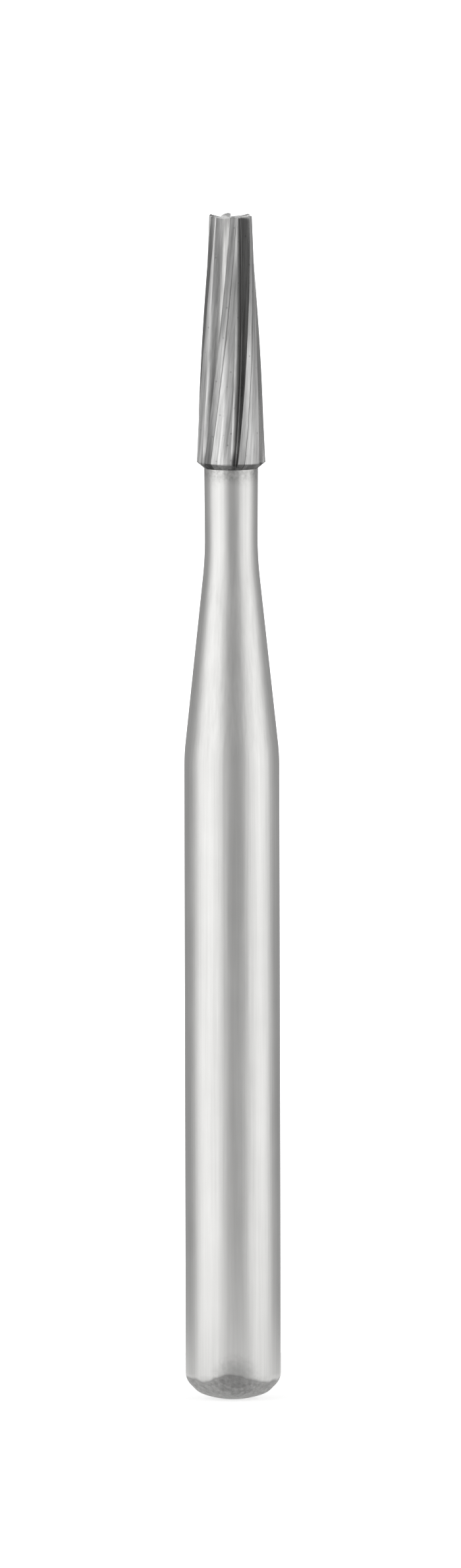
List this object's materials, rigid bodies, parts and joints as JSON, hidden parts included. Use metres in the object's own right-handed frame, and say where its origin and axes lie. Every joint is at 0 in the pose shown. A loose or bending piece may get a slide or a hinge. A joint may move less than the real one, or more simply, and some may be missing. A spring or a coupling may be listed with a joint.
{
  "type": "dental bur",
  "caption": "Plain tapered dental bur in one piece: a fluted helical head on a slim neck, with a friction-grip shank that ends in a dome.",
  "frame": {"origin": "lowest point of the shank's domed end, on the tool's axis", "axes": "+Z along the tool's axis from the shank's end to the cutting tip, -Y the side that the first blade's edge points to at the tip"},
  "size_m": [0.0016, 0.0016, 0.02],
  "materials": {
    "carbide": "satin ground shank and neck, finely ground darker head, matte tumbled shank end"
  },
  "bodies": {
    "root": {"bur": "carbide"}
  },
  "joints": []
}
